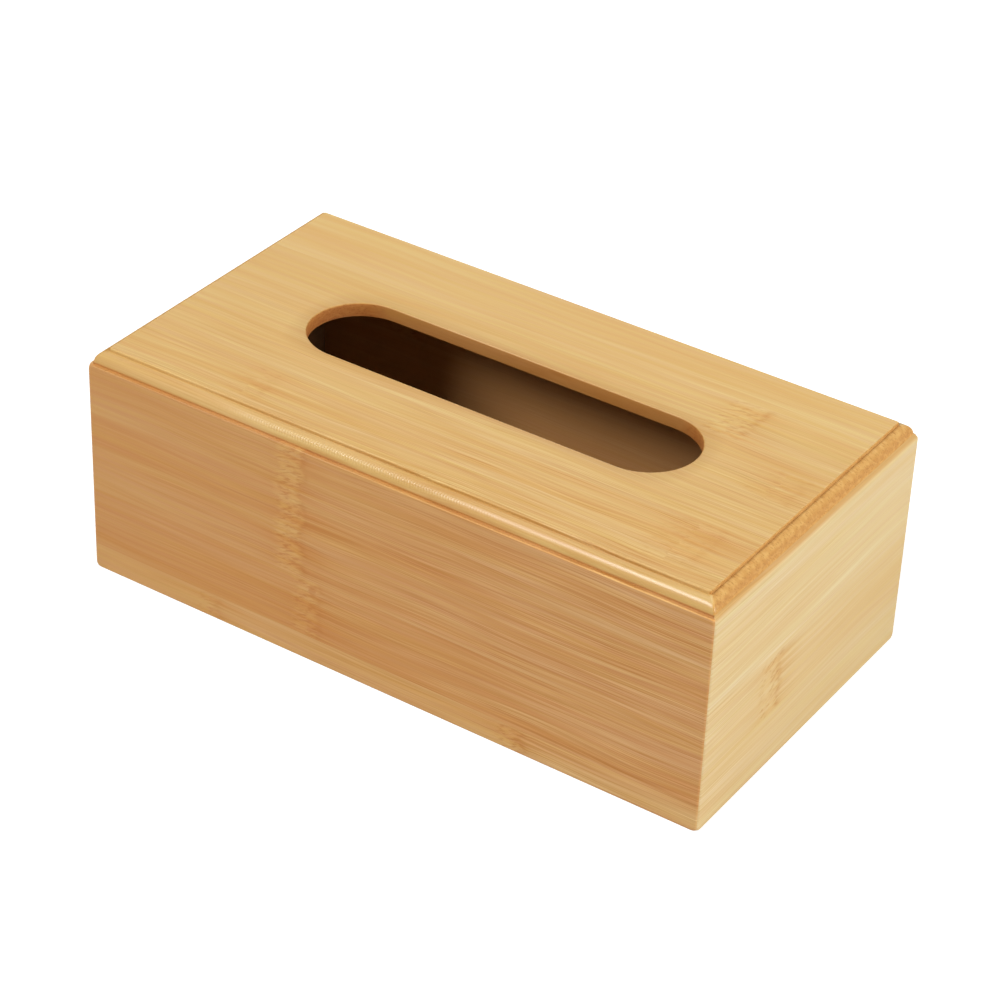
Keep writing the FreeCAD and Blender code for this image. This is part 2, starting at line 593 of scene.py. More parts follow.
class Tint:
    """Colours that the body of the bamboo is multiplied by, some of them painted light and shade."""

    LINE: Colour = (0.84, 0.71, 0.49)
    PALE: Colour = (1.14, 1.27, 1.50)
    RUSSET: Colour = (0.94, 0.82, 0.62)
    STRAW: Colour = (1.055, 1.18, 1.48)
    AMBER: Colour = (0.965, 0.86, 0.72)
    HONEY: Colour = (1.035, 1.125, 1.30)
    OLIVE: Colour = (1.02, 1.07, 0.95)
    ROSE: Colour = (0.985, 0.93, 1.04)
    RUST: Colour = (0.82, 0.64, 0.44)
    # painted shade in the creases, toward the foot of the slot's wall and on the arris's left part; also
    # the slot's darker rim
    STAIN_AND_SHADE: Colour = (0.62, 0.48, 0.34)
    CUT: Colour = (0.80, 0.58, 0.42)
    # painted shade on the back wall's inner face
    INSIDE_SHADE: Colour = (0.75, 0.63, 0.60)
    # painted shade, cooled, on the inner faces and the plate's underside
    COOL_INSIDE_SHADE: Colour = (0.62, 0.82, 1.40)
    # painted grey shade, on the step's sawn ends and on the left wall's inner face
    GREY_SHADE: Colour = (0.54, 0.56, 0.74)
    # painted shade: a slight dimming of the bead
    BEAD_SHADE: Colour = (0.93, 0.94, 0.95)
    SPECK: Colour = (0.72, 0.62, 0.50)
    OILED: Colour = (0.86, 0.66, 0.42)
    # painted highlight on the ledge's arris
    ARRIS_HIGHLIGHT: Colour = (1.16, 1.22, 1.02)
    FLECK: Colour = (1.12, 1.28, 1.27)


@dataclass(frozen=True)
class Layer:
    """A layer of streaks along the fibres, and the two tints that it runs between.

    Attributes:
        length: length of a streak, in millimetres.
        width: its width, in millimetres.
        low: tint where the noise is low.
        high: tint where the noise is high.
        share: strength of the tints.
    """

    length: float
    width: float
    low: Colour = WHITE
    high: Colour = WHITE
    share: float = 0.0


class Streak(Enum):
    """The layers of streaks, from the broadest to the finest, and the patches where fine lines show."""

    BROAD = Layer(150.0, 9.0, Tint.AMBER, Tint.HONEY, 0.6)
    MEDIUM = Layer(85.0, 2.8, Tint.STRAW, Tint.RUSSET, 0.45)
    HUE = Layer(70.0, 1.8, Tint.OLIVE, Tint.ROSE, 0.8)
    FINE = Layer(60.0, 0.9, Tint.PALE, Tint.LINE, 0.42)
    HAIR = Layer(38.0, 0.34, Tint.PALE, Tint.LINE, 0.85)
    PATCH = Layer(45.0, 4.0)


@dataclass(frozen=True)
class BambooFinish:
    """Laminated bamboo under a satin lacquer.

    Attributes:
        grain: axes of the board.
        laths: laths from the lowest to the highest.
        knuckles: knuckles that show on the board.
        seed: number that sets this board's fibres apart from the others.
        body: colour of the bamboo.
        end: colour of the end grain.
        end_share: 1 if end grain shows where the surface cuts across the fibres, else 0.
        contrast: strength of all its streaks.
        crisp: strength of the finest lines at the middle of the board, and its change over
            100 mm along and across it.
        paling: how far the board pales toward the far end of its grain.
        roughness: roughness of its lacquer.
        gloss: strength of the lacquer's reflections, where 0.5 is plain varnish.
        inner: tint of its face inside the box, a painted shade.
        relief_height: unit of the surface's relief, in metres.
    """

    grain: Grain
    laths: tuple[Lath, ...]
    knuckles: tuple[Knuckle, ...]
    seed: int
    body: Colour = linear(217, 176, 108)
    end: Colour = linear(197, 142, 70)
    end_share: float = 0.0
    contrast: float = 1.0
    crisp: tuple[float, float, float] = (0.8, 0.0, 0.0)
    paling: float = 0.0
    roughness: float = 0.45
    gloss: float = 0.4
    inner: Colour = Tint.COOL_INSIDE_SHADE
    relief_height: float = 0.01 * MM

    def material(self, name: str) -> bpy.types.Material:
        """Build the material.

        Args:
            name: name of the material.

        Returns:
            A material that reads the object's own coordinates in millimetres.
        """
        made = bpy.data.materials.new(name)
        made.use_nodes = True
        graph = Graph(made.node_tree)
        weave = BambooWeave(graph, self)
        bump_inputs = {"Strength": 1.0, "Distance": self.relief_height, "Height": weave.relief()}
        bump = graph.node("ShaderNodeBump", {}, bump_inputs)
        shader = graph.node(
            "ShaderNodeBsdfPrincipled",
            {},
            {
                "Base Color": weave.colour(),
                "Roughness": weave.roughness(),
                "Specular IOR Level": self.gloss,
                "Normal": bump.outputs[0],
            },
        )
        graph.node("ShaderNodeOutputMaterial", {}, {"Surface": shader.outputs[0]})
        return made


class BambooWeave:
    """The fibres, laths, knuckles and end grain of one board, as shader values.

    Lengths and places are in millimetres. A pitch is the size of a pattern's patches in two directions,
    and a range is the value at which a share is none and the one at which it is full.
    """

    # Steps in the noise between boards, laths, layers and the two sides of a knuckle
    BOARD_STEP = 61.0
    LATH_STEP = 23.0
    SIDE_STEP = 9.0
    HUE_STEP = 7.0
    QUICK_STEP = 5.0
    PATCH_STEP = 3.0

    # Sway of the fibres, and their wriggle at a knuckle
    SWAY_PITCH = (80.0, 30.0)
    SWAY = 5.0
    WRIGGLE_PITCH = (7.0, 5.0)
    WRIGGLE = 3.0
    WRIGGLE_REACH = 6.0

    # Streaks: their range, how deep they go against their width, and where the finest lines show
    STREAK_RANGE = (-0.28, 0.28)
    STREAK_DEPTH = 4
    PATCH_RANGE = (-0.2, 0.2)
    LEAST_LINES = 0.4
    CRISP_SPAN = 100
    FINE_CRISP = 0.8
    FINE_ALWAYS = 0.2
    PALING_RANGE = (-30.0, 130.0)

    # How far the streaks are held back inside the box, on the bead and in a knuckle
    INSIDE_CALM = 0.6
    BEAD_CALM = 0.5
    KNUCKLE_CALM = 0.8

    # Outline of a knuckle: its bends, its ends across the board, and the edges of its band
    BEND_PITCH = 9.0
    SLOW_BEND = 8.0
    QUICK_BEND = 5.0
    END_OUT = 1.0
    END_IN = 2.0
    BAND_OUT = 3.0
    BAND_IN = 2.0
    BAND_RIM = 1.5

    # Inside of a knuckle: slanted dashes, a ragged rim, a blush about it and a streaky tail
    DASH_SLANT = 0.3
    DASH_PITCH = (4.5, 1.1)
    PALE_RANGE = (-0.16, 0.12)
    RUST_RANGE = (0.0, 0.18)
    RIM_WIDTH = 1.8
    RIM_PITCH = (5.0, 2.8)
    RIM_RANGE = (-0.2, 0.16)
    BLUSH_PLACE = 0.5
    BLUSH_REACH = 5.0
    BLUSH_RANGE = (-0.2, 0.2)
    TAIL_START = (-0.5, 1.5)
    TAIL_END = (18.0, 2.0)
    TAIL_RANGE = (-0.12, 0.2)
    TAIL_SHARE = 0.4

    # Glue line between two laths
    GLUE_WIDTH = 0.12
    GLUE_SHARE = 0.15

    # End grain: how far a face has to turn to show it, its bundles and patches, and painted shade where it
    # faces halfway up and painted light where it faces up
    SAWN_RANGE = (0.05, 0.4)
    BUNDLE_PITCH = 0.75
    BUNDLE_LENGTH = 9.0
    BUNDLE_RANGE = (0.45, 0.1)
    BUNDLE_SHARE = 0.7
    END_PITCH = (2.2, 1.4)
    END_RANGE = (-0.12, 0.2)
    SLOPE_RISE = 0.5
    SLOPE_WIDTH = 0.3
    SLOPE_SHADE = 0.35
    CROWN_LIGHT_RANGE = (0.6, 0.85)

    # Painted light: a painted highlight on the ledge's arris and painted shade on its left part, and a
    # painted glint on the bead's corners
    HIGHLIGHT_RANGE = (-60.0, 100.0)
    HIGHLIGHT_SHARE = 0.9
    ARRIS_SHADE_RANGE = (60.0, -60.0)
    ARRIS_SHADE_SHARE = 0.35
    GLINT_SHARE = 0.7

    # Relief and gloss: fibre lines, the cutter's waves on part of the bead, and dull and smooth places
    LINE_RELIEF = 0.3
    WAVE_LENGTH = 1.1
    WAVE_RELIEF = 5.0
    WAVE_START = (-85.0, -45.0)
    WAVE_END = (60.0, 0.0)
    WAVE_GLOSS = 0.12
    STREAK_ROUGH = 0.08
    DULL_RANGE = (-40.0, -95.0)
    DULL_BEAD = 0.35
    SMOOTH_RANGE = (-10.0, 100.0)
    SMOOTH_BEAD = 0.18
    SAWN_DULL = 0.3

    def __init__(self, graph: Graph, finish: BambooFinish) -> None:
        """Read the board's coordinates and bend its fibres.

        Args:
            graph: node tree to build in.
            finish: the board's finish.
        """
        self.graph = graph
        self.finish = finish
        coordinates = graph.node("ShaderNodeTexCoord", {}, {})
        place = graph.parts(self.scaled(Value(graph, coordinates.outputs["Object"])))
        facing = graph.parts(Value(graph, coordinates.outputs["Normal"]))
        along_axis, across_axis, through_axis = finish.grain.value
        self.along = place[along_axis]
        self.across = place[across_axis]
        self.through = place[through_axis]
        sawn = facing[along_axis].size().rise(*self.SAWN_RANGE) * finish.end_share
        self.end_grain = graph.math("MAXIMUM", sawn, self.mark("sawn_end"))
        self.rising = facing[through_axis]
        self.apart: Number = finish.seed * self.BOARD_STEP
        for lath in finish.laths[1:]:
            self.apart = self.across.above(lath.low) * self.LATH_STEP + self.apart
        self.near = [self.near_knuckle(knuckle) for knuckle in finish.knuckles]
        self.bands = [self.band(knuckle, *near) for knuckle, near in zip(finish.knuckles, self.near)]
        self.bent = self.bend()
        shuffled = self.shuffled()
        self.hair = self.streaks(Streak.HAIR, shuffled)
        self.fine = self.streaks(Streak.FINE, shuffled)
        self.hue = self.streaks(Streak.HUE, shuffled + self.HUE_STEP)
        self.medium = self.streaks(Streak.MEDIUM, self.apart)
        self.broad = self.streaks(Streak.BROAD, self.apart)
        self.patches = self.streaks(Streak.PATCH, self.apart + self.PATCH_STEP)

    def scaled(self, metres: Value) -> Value:
        """Object coordinates in millimetres."""
        inputs = {0: metres, "Scale": 1 / MM}
        return self.graph.value("ShaderNodeVectorMath", {"operation": "SCALE"}, inputs, 0)

    def mark(self, name: str) -> Value:
        """A value that the mesh carries under a name, or zero where it has none."""
        return self.graph.value("ShaderNodeAttribute", {"attribute_name": name}, {}, "Fac")

    def noise_over(self, first: Value, second: Value, pitch: Pair, detail: float = 2.0) -> Value:
        """Noise over two directions, each against its pitch, which differs from lath to lath."""
        at = self.graph.vector(first / pitch[0], second / pitch[1], self.apart)
        return self.graph.noise(at, detail)

    def near_knuckle(self, knuckle: Knuckle) -> tuple[Value, Value]:
        """Place the board against a knuckle, whose middle is ragged.

        Args:
            knuckle: the knuckle.

        Returns:
            The distance from its middle along the fibres, and its share across the board.
        """
        graph = self.graph
        slow = graph.noise(graph.vector(knuckle.along, self.across / self.BEND_PITCH, self.apart))
        quick = graph.noise(graph.vector(knuckle.along, self.across, self.apart + self.QUICK_STEP))
        distance = self.along - knuckle.along - slow * self.SLOW_BEND - quick * self.QUICK_BEND
        inside = self.across.rise(knuckle.low - self.END_OUT, knuckle.low + self.END_IN)
        inside = inside * self.across.rise(knuckle.high + self.END_OUT, knuckle.high - self.END_IN)
        return distance, inside

    def band(self, knuckle: Knuckle, distance: Value, inside: Value) -> Value:
        """Outline a knuckle's band of short fibres.

        Args:
            knuckle: the knuckle.
            distance: distance from its middle along the fibres.
            inside: its share across the board.

        Returns:
            The share of the band.
        """
        half = knuckle.half
        start = distance.rise(-half - self.BAND_OUT, self.BAND_IN - half)
        return start * distance.rise(half + self.BAND_RIM, half - self.BAND_RIM) * inside

    def shuffled(self) -> Number:
        """Set fibres apart by lath, and on one side of a knuckle from the other.

        Returns:
            The number that does so in the noise.
        """
        apart = self.apart
        for distance, inside in self.near:
            apart = distance.above(0.0) * inside.above(0.5) * self.SIDE_STEP + apart
        return apart

    def bend(self) -> Value:
        """Bend the fibres, which sway slowly and wriggle at a knuckle.

        Returns:
            The place across the board that a fibre would have if it were straight.
        """
        bent = self.across + self.noise_over(self.along, self.across, self.SWAY_PITCH, 1.0) * self.SWAY
        wriggle = self.noise_over(self.along, self.across, self.WRIGGLE_PITCH, 1.0)
        for knuckle, (distance, inside) in zip(self.finish.knuckles, self.near):
            reach = distance.bell(knuckle.half + self.WRIGGLE_REACH)
            bent = bent + wriggle * reach * inside * self.WRIGGLE * knuckle.rust
        return bent

    def streaks(self, streak: Streak, apart: Number) -> Value:
        """Draw noise out along the fibres.

        Args:
            streak: the layer, which gives the length and width of a streak.
            apart: number that sets this layer apart from others.

        Returns:
            The noise, about zero.
        """
        layer = streak.value
        through = self.through / (layer.width * self.STREAK_DEPTH) + apart
        at = self.graph.vector(self.along / layer.length + apart, self.bent / layer.width, through)
        return self.graph.noise(at)

    def tinted(self, colour: Any, tint: Any, share: Number) -> Value:
        """Multiply a colour by a tint, by a share of it."""
        return self.graph.mix(share, colour, tint, "MULTIPLY")

    def layered(self, colour: Any, noise: Value, streak: Streak, share: Number) -> Value:
        """Multiply a colour by a layer's tints, which run from low to high with its noise."""
        tint = self.graph.mix(noise.rise(*self.STREAK_RANGE), streak.value.low, streak.value.high)
        return self.tinted(colour, tint, share * streak.value.share)

    def colour(self) -> Value:
        """Colour the board: streaks, knuckles and laths, then end grain and marked places, with painted
        light and shade among both.

        Returns:
            The colour.
        """
        finish = self.finish
        middle, by_along, by_across = finish.crisp
        span = self.CRISP_SPAN
        crisp = self.along * (by_along / span) + self.across * (by_across / span) + middle
        contrast = (1.0 - self.mark("inside") * self.INSIDE_CALM) * finish.contrast
        calm = (1.0 - self.mark("bead") * self.BEAD_CALM) * contrast
        for knuckle, band in zip(finish.knuckles, self.bands):
            calm = (1.0 - band * self.KNUCKLE_CALM * knuckle.rust) * calm
        lines = (self.patches.rise(*self.PATCH_RANGE) + self.LEAST_LINES) * crisp * calm
        fine = (crisp * self.FINE_CRISP + self.FINE_ALWAYS) * calm
        colour = self.tinted(finish.body, Tint.HONEY, self.along.rise(*self.PALING_RANGE) * finish.paling)
        colour = self.layered(colour, self.broad, Streak.BROAD, contrast)
        colour = self.layered(colour, self.medium, Streak.MEDIUM, contrast)
        colour = self.layered(colour, self.hue, Streak.HUE, contrast)
        colour = self.layered(colour, self.fine, Streak.FINE, fine)
        colour = self.layered(colour, self.hair, Streak.HAIR, lines)
        for knuckle, near, band in zip(finish.knuckles, self.near, self.bands):
            colour = self.knuckle_colour(colour, knuckle, near, band)
        for lower, lath in zip((None, *finish.laths), finish.laths):
            colour = self.lath_colour(colour, lower, lath)
        return self.painted_light_and_marks(self.end_colour(colour))

    def knuckle_colour(
        self, colour: Value, knuckle: Knuckle, near: tuple[Value, Value], band: Value
    ) -> Value:
        """Lay one knuckle over a colour: pale and rusty dashes, a rim, a blush and a streaky tail.

        Args:
            colour: the colour below.
            knuckle: the knuckle.
            near: distance from its middle along the fibres, and its share across the board.
            band: share of its band of short fibres.

        Returns:
            The new colour.
        """
        distance, inside = near
        half = knuckle.half
        past = distance - half
        rusty = inside * knuckle.rust
        dashes = self.noise_over(distance, self.bent - distance * self.DASH_SLANT, self.DASH_PITCH)
        colour = self.tinted(colour, Tint.FLECK, band * dashes.rise(*self.PALE_RANGE) * knuckle.pale)
        colour = self.tinted(colour, Tint.RUST, band * (-dashes).rise(*self.RUST_RANGE) * knuckle.rust)
        ragged = self.noise_over(distance, self.across, self.RIM_PITCH)
        rim = past.bell(self.RIM_WIDTH) * ragged.rise(*self.RIM_RANGE)
        colour = self.tinted(colour, Tint.RUST, rim * rusty)
        blush = (distance - half * self.BLUSH_PLACE).bell(half + self.BLUSH_REACH)
        blush = blush * self.medium.rise(*self.BLUSH_RANGE)
        colour = self.tinted(colour, Tint.AMBER, blush * inside * knuckle.blush)
        tail = past.rise(*self.TAIL_START) * past.rise(*self.TAIL_END)
        tail = tail * self.fine.rise(*self.TAIL_RANGE) * rusty
        return self.tinted(colour, Tint.RUST, tail * self.TAIL_SHARE)

    def lath_colour(self, colour: Value, lower: Union[Lath, None], lath: Lath) -> Value:
        """Lay one lath's tint over a colour, from its lower edge up, with a glue line at that edge.

        Args:
            colour: the colour below.
            lower: the lath under it, or None for the lowest one.
            lath: the lath.

        Returns:
            The new colour.
        """
        if lower is None:
            return self.tinted(colour, lath.tint, 1.0)
        change = tuple(own / below for own, below in zip(lath.tint, lower.tint))
        colour = self.tinted(colour, change, self.across.above(lath.low))
        glue = (self.across - lath.low).bell(self.GLUE_WIDTH)
        return self.tinted(colour, Tint.LINE, glue * self.GLUE_SHARE)

    def end_colour(self, colour: Value) -> Value:
        """Lay the end grain over faces that cut across the grain: bundles, painted shade where they face
        halfway up, painted light where they face up.

        Args:
            colour: the colour below.

        Returns:
            The new colour.
        """
        graph = self.graph
        pitch = self.BUNDLE_PITCH
        at = graph.vector(self.across / pitch, self.through / pitch, self.along / self.BUNDLE_LENGTH)
        bundles = graph.cells(at).rise(*self.BUNDLE_RANGE)
        patches = self.noise_over(self.across, self.through, self.END_PITCH)
        slope = (self.rising - self.SLOPE_RISE).bell(self.SLOPE_WIDTH)
        end = self.tinted(self.finish.end, Tint.SPECK, bundles * self.BUNDLE_SHARE)
        end = self.tinted(end, Tint.PALE, patches.rise(*self.END_RANGE))
        # painted shade on end grain that faces halfway up
        end = self.tinted(end, Tint.SPECK, slope * self.SLOPE_SHADE)
        # painted light on end grain that faces up
        end = self.tinted(end, Tint.HONEY, self.rising.rise(*self.CROWN_LIGHT_RANGE))
        return graph.mix(self.end_grain, colour, end)

    def painted_light_and_marks(self, colour: Value) -> Value:
        """Lay over a colour what the mesh marks: painted shade and a darker slot rim, cut and oiled places,
        painted shade on sawn steps, inner faces and the bead, a painted highlight on the arris and a
        painted glint on the bead's corners.

        Args:
            colour: the colour below.

        Returns:
            The new colour.
        """
        # most of these are painted shade; the slot's rim is darker, and the cut and oiled tints are the
        # wood's own
        marks = {
            "stain_and_shade": Tint.STAIN_AND_SHADE,
            "cut": Tint.CUT,
            "oiled": Tint.OILED,
            "sawn_grey_shade": Tint.GREY_SHADE,
            "inside": self.finish.inner,
        }
        for name, tint in marks.items():
            colour = self.tinted(colour, tint, self.mark(name))
        arris = self.mark("arris")
        # painted highlight on the ledge's arris, growing to the right, and painted shade on it to the left
        arris_highlight = arris * self.along.rise(*self.HIGHLIGHT_RANGE) * self.HIGHLIGHT_SHARE
        arris_shade = arris * self.along.rise(*self.ARRIS_SHADE_RANGE) * self.ARRIS_SHADE_SHARE
        colour = self.tinted(colour, Tint.ARRIS_HIGHLIGHT, arris_highlight)
        colour = self.tinted(colour, Tint.STAIN_AND_SHADE, arris_shade)
        # painted shade: the bead dimmed a little
        colour = self.tinted(colour, Tint.BEAD_SHADE, self.mark("bead") * (1.0 - self.end_grain))
        # painted glint on the bead's corners
        return self.tinted(colour, Tint.PALE, self.mark("corner_glint") * self.GLINT_SHARE)

    def relief(self) -> Value:
        """Height of the surface for its bump: fibre lines, and the cutter's waves on part of the bead."""
        lines = self.hair * self.LINE_RELIEF + self.fine * self.LINE_RELIEF
        return lines + self.waves() * self.WAVE_RELIEF

    def waves(self) -> Value:
        """Waves that the cutter left along part of the bead's crest, from -1 to 1."""
        wave = (self.along * (2 * math.pi / self.WAVE_LENGTH)).sine()
        return wave * self.mark("chatter") * self.stretch()

    def stretch(self) -> Value:
        """Part of the bead that has the cutter's waves, which fade out at both its ends."""
        return self.along.rise(*self.WAVE_START) * self.along.rise(*self.WAVE_END)

    def roughness(self) -> Value:
        """Roughen the lacquer: unevenly along the fibres, more on end grain and inside.

        The bead is dull at the start of its grain, on the left, and grows smoother to the right.

        Returns:
            The roughness.
        """
        dull = self.along.rise(*self.DULL_RANGE) * self.DULL_BEAD
        turned = dull - self.along.rise(*self.SMOOTH_RANGE) * self.SMOOTH_BEAD
        turned = turned - self.stretch() * self.WAVE_GLOSS
        rough = self.finish.roughness + self.medium * self.STREAK_ROUGH + self.mark("bead") * turned
        bare = self.end_grain * (1.0 - self.mark("corner_glint")) + self.mark("inside")
        return rough - self.waves() * self.WAVE_GLOSS + bare * self.SAWN_DULL


# Sub-assemblies

@dataclass
class TopPlate:
    """The moulded plate with its slot: a section carried right round, from the slot to the edge.

    Attributes:
        sizes: sizes of the box.
        finish: its bamboo.
        long_steps: stations along each long side.
        short_steps: stations along each short side.
        corner_steps: stations round each mitred corner of the moulding.
        arris_steps: chords of each rounded edge.
        bead_steps: chords of the bead.
        flat_rows: rows of points across the top face, and across the underside.
        step_guard: how far from the step's edges its next rows of points lie.
        corner_share: share of the slot's way that a corner's stations take, on a long and a short side.
    """

    sizes: BoxSizes
    finish: BambooFinish
    long_steps: int = 128
    short_steps: int = 64
    corner_steps: int = 4
    arris_steps: int = 5
    bead_steps: int = 16
    flat_rows: int = 7
    step_guard: float = 0.2 * MM
    corner_share: Pair = (0.004, 0.01)

    # Strength of the painted shade on the step and on its sawn ends, of the darker rim of the slot,
    # of the painted shade toward the foot of the slot's wall, and of the painted grey shade on the
    # step's sawn ends
    STEP_SHADE = 0.35
    SAWN_STEP_SHADE = 0.15
    RIM_STAIN = 0.3
    SLOT_WALL_SHADE = 0.6
    SAWN_GREY_SHADE = 0.35

    # Crest of the bead, where the cutter left its waves, in degrees of the quarter round
    CREST = 39
    CREST_REACH = 22.4
    CREST_FADE = 14

    def stations(self) -> tuple[np.ndarray, np.ndarray, np.ndarray]:
        """Stations round the plate, anticlockwise from the front left corner.

        Returns:
            For each station the number of its side, its share of the way along that side, and the
            share of the turn at the side's end, which is zero but on the rounded corners.
        """
        side, share, turn = [], [], []
        for number in range(4):
            steps = self.short_steps if number % 2 else self.long_steps
            corner = np.arange(1, self.corner_steps) / self.corner_steps
            way = np.concatenate([np.linspace(0, 1, steps + 1), np.ones(len(corner))])
            bend = np.concatenate([np.zeros(steps + 1), corner])
            side.append(np.full(len(way), number))
            share.append(way)
            turn.append(bend)
        return np.concatenate(side), np.concatenate(share), np.concatenate(turn)

    def edge_path(self, inset: float) -> np.ndarray:
        """Outline the plate: a rectangle with slightly rounded corners.

        A station lies at corner + share of the side, and on a corner at the centre of the rounding
        + radius (sin turn, -cos turn), turned to its side.

        Args:
            inset: how far the outline stands in from the faces of the walls.

        Returns:
            The stations as rows of two coordinates.
        """
        sizes = self.sizes
        number, share, turn = self.stations()
        radius = sizes.mitre_round
        half = np.where(number % 2, sizes.width, sizes.length) / 2 - inset - radius
        reach = np.where(number % 2, sizes.length, sizes.width) / 2 - inset - radius
        angle = turn * math.pi / 2
        x = half * (2 * share - 1) + radius * np.sin(angle)
        y = -reach - radius * np.cos(angle)
        return quarter_turned(number, x, y)

    def slot_path(self, offset: float) -> np.ndarray:
        """Outline the slot: two straights and two half circles.

        Stations of a long side share out a straight and half of the quarter rounds beside it, and
        those of a short side the rest of a half circle.

        Args:
            offset: how far the outline lies in the plate from the slot's wall.

        Returns:
            The stations as rows of two coordinates.
        """
        sizes = self.sizes
        number, share, turn = self.stations()
        long_corner, short_corner = self.corner_share
        radius = sizes.slot_width / 2 + offset
        straight_half = (sizes.slot_length - sizes.slot_width) / 2
        long_half = straight_half + radius * math.pi / 4
        long_way = (share * (1 - long_corner) + turn * long_corner) * 2 * long_half - long_half
        over = np.sign(long_way) * np.clip(np.abs(long_way) - straight_half, 0, None) / radius
        long_x = np.clip(long_way, -straight_half, straight_half) + radius * np.sin(over)
        long_y = -radius * np.cos(over)
        short_angle = (share * (1 - short_corner) + turn * short_corner - 0.5) * math.pi / 2
        short_x = radius * np.sin(short_angle)
        short_y = -straight_half - radius * np.cos(short_angle)
        x = np.where(number % 2, short_x, long_x)
        y = np.where(number % 2, short_y, long_y)
        return quarter_turned(number, x, y)

    def surface(self) -> Surface:
        """Carry the section round: up the slot, over the top, down the moulding and back below.

        Each row of the section has an outline, either the slot's at an offset or the edge's at an
        inset, or a mix of the two on the flat faces, and a height.

        Returns:
            The plate's surface.
        """
        sizes = self.sizes
        top, seat = sizes.height, sizes.seat
        rim = sizes.slot_arris
        slot = np.concatenate(
            [
                straight((0.0, seat), (0.0, top - rim)),
                arc((rim, top - rim), rim, 180, 90, self.arris_steps),
                [[rim, top], [rim + GUARD, top]],
            ]
        )
        arris = sizes.top_arris
        inset = sizes.top_inset
        edge = np.concatenate(
            [
                [[inset + arris + GUARD, top]],
                arc((inset + arris, top - arris), arris, 90, 180, self.arris_steps),
                straight((inset, top - arris), (inset, seat + sizes.bead_radius), (self.step_guard,)),
                arc((inset, seat), sizes.bead_radius, 90, 180, self.bead_steps),
                [[sizes.ledge_width, seat], [sizes.ledge_width + GUARD, seat]],
            ]
        )
        slot_rows = [(self.slot_path(offset), height) for offset, height in slot]
        edge_rows = [(self.edge_path(inset_here), height) for inset_here, height in edge]
        over = self.between(slot_rows[-1], edge_rows[0])
        under = self.between(edge_rows[-1], slot_rows[0])
        rows = slot_rows + over + edge_rows + under
        points = np.stack([np.column_stack([path, np.full(len(path), height)]) for path, height in rows])
        return Surface(points, ring=True, marks=self.marks(points, len(slot)))

    def marks(self, points: np.ndarray, slot_rows: int) -> dict[str, np.ndarray]:
        """Mark what looks different, painted light and shade among it.

        These are the bead, its crest and its corners with a painted glint, the step with painted shade,
        the sawn ends of both, the slot's wall with painted shade toward its foot and its darker rim, and
        the underside with painted shade.

        Args:
            points: rows by columns by three coordinates.
            slot_rows: number of rows, from the first, that belong to the slot.

        Returns:
            A value from 0 to 1 for each row, or each point, by the name of the mark.
        """
        sizes = self.sizes
        number, _, turn = self.stations()
        short_side = (number % 2).astype(float)
        height = points[:, 0, 2]
        inset = sizes.width / 2 + points[:, 0, 1]
        depth = sizes.height - sizes.seat
        bead_top = sizes.seat + sizes.bead_radius
        moulding = np.arange(len(points)) >= slot_rows
        below = moulding & (height < sizes.seat + NEAR) & (inset > sizes.ledge_width + NEAR)
        step = moulding & (height > bead_top - NEAR) & (height < sizes.height - sizes.top_arris)
        rim = ~moulding & (height > sizes.height - sizes.slot_arris / 2)
        wall = ~moulding & ~rim
        bead = moulding & ~below & (height < bead_top + NEAR)
        slope = np.degrees(np.arcsin(np.clip((height - sizes.seat) / sizes.bead_radius, -1, 1)))
        crest = np.clip((self.CREST_REACH - np.abs(slope - self.CREST)) / self.CREST_FADE, 0, 1)
        # painted shade that darkens toward the foot of the slot's wall, and a darker rim
        slot_stain_and_shade = rim * self.RIM_STAIN + wall * self.SLOT_WALL_SHADE * (sizes.height - height) / depth
        # painted shade on the step
        step_shade = np.where(short_side, self.SAWN_STEP_SHADE, self.STEP_SHADE)
        return {
            "bead": bead.astype(float),
            "chatter": bead * crest,
            # painted glint on the bead's corners, which are also glossier
            "corner_glint": bead[:, None] * (turn > 0),
            "stain_and_shade": slot_stain_and_shade[:, None] + step[:, None] * step_shade,
            "sawn_end": (bead | step)[:, None] * short_side,
            # painted grey shade on the step's sawn ends
            "sawn_grey_shade": (step & ~bead)[:, None] * short_side * self.SAWN_GREY_SHADE,
            "cut": wall.astype(float),
            # the underside, which takes painted shade
            "inside": below.astype(float),
        }

    def between(
        self, first: tuple[np.ndarray, float], last: tuple[np.ndarray, float]
    ) -> list[tuple[np.ndarray, float]]:
        """Rows of a flat face between two outlines at one height: first + share (last - first)."""
        shares = np.linspace(0, 1, self.flat_rows + 2)[1:-1]
        return [(first[0] + share * (last[0] - first[0]), first[1]) for share in shares]

    def build(self) -> None:
        """Make the plate in place of its plain solid."""
        piece = self.surface().to_object("moulded_top_plate")
        dress(piece, self.finish, "top_plate_bamboo")
        seat_piece(piece, "box", "top_plate")


